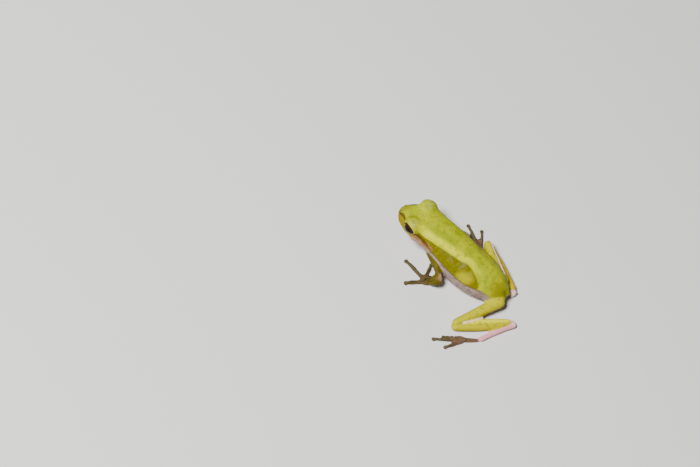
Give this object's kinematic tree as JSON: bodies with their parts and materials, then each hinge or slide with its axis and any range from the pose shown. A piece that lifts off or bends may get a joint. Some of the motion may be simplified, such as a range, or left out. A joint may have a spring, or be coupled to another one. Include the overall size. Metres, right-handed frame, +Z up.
{
  "type": "tree frog",
  "caption": "Small slender tree frog sitting low, one hind leg folded and the other half unfolded, with round toe pads and webbed feet.",
  "frame": {"origin": "on the floor, under the middle of the frog's box", "axes": "+Z up, -Y towards the snout, +X towards the frog's left side"},
  "size_m": [0.0264, 0.031, 0.0096],
  "materials": {
    "back_skin": "moist, smooth, yellow-green",
    "limb_skin": "moist, smooth, green-yellow",
    "hand_skin": "moist, thin, flesh-coloured",
    "throat_skin": "moist, finely granular, cream white",
    "eye": "wet and clear over a bronze iris"
  },
  "bodies": {
    "root": {"trunk": "back_skin", "head": "back_skin", "lower_jaw": "throat_skin", "eye_left": "eye", "eye_right": "eye", "upper_arm_left": "hand_skin", "upper_arm_right": "hand_skin", "forearm_left": "limb_skin", "forearm_right": "limb_skin", "hand_left": "hand_skin", "hand_right": "hand_skin", "thigh_left": "limb_skin", "thigh_right": "limb_skin", "shank_left": "limb_skin", "shank_right": "limb_skin", "tarsus_left": "hand_skin", "tarsus_right": "hand_skin", "foot_left": "hand_skin", "foot_right": "hand_skin"}
  },
  "joints": []
}
